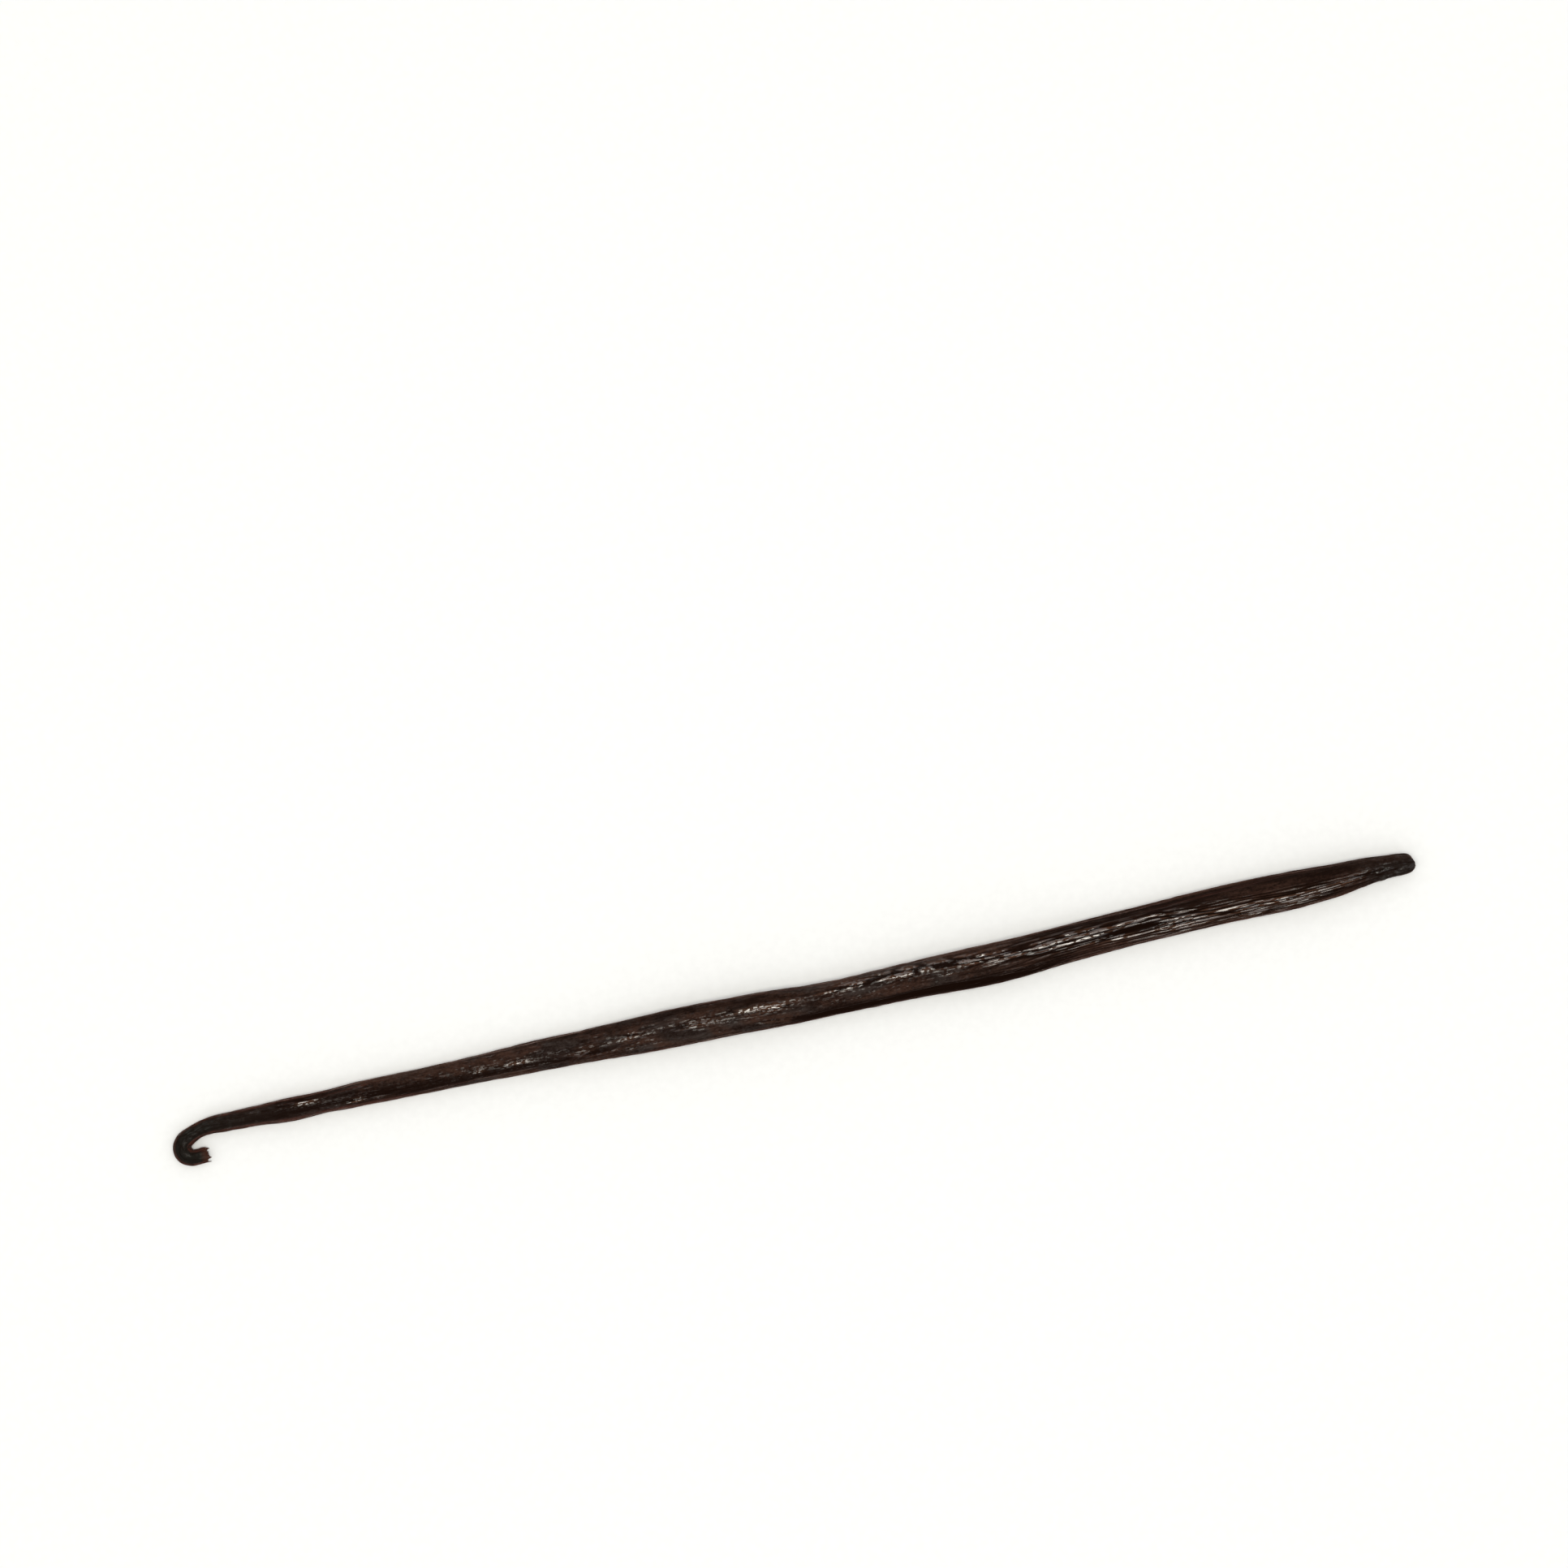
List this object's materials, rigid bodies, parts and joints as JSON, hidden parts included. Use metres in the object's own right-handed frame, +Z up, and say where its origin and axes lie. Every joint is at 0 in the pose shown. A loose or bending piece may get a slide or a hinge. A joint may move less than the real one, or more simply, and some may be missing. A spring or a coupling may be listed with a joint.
{
  "type": "vanilla pod",
  "caption": "Cured vanilla pod with a hooked, torn stem end, lengthwise furrows and a blunt tip, lying flat, for kitchen, baking and market scenes.",
  "frame": {"origin": "bottom centre of the pod's box, on the surface that it lies on", "axes": "+X along the pod from the stem end to the tip, +Z up, and the stem's hook turns towards -Y"},
  "size_m": [0.1668, 0.008, 0.004],
  "materials": {
    "pod_skin": "oily satin, near-black brown, wrinkled lengthwise"
  },
  "bodies": {
    "root": {"vanilla_pod": "pod_skin"}
  },
  "joints": []
}
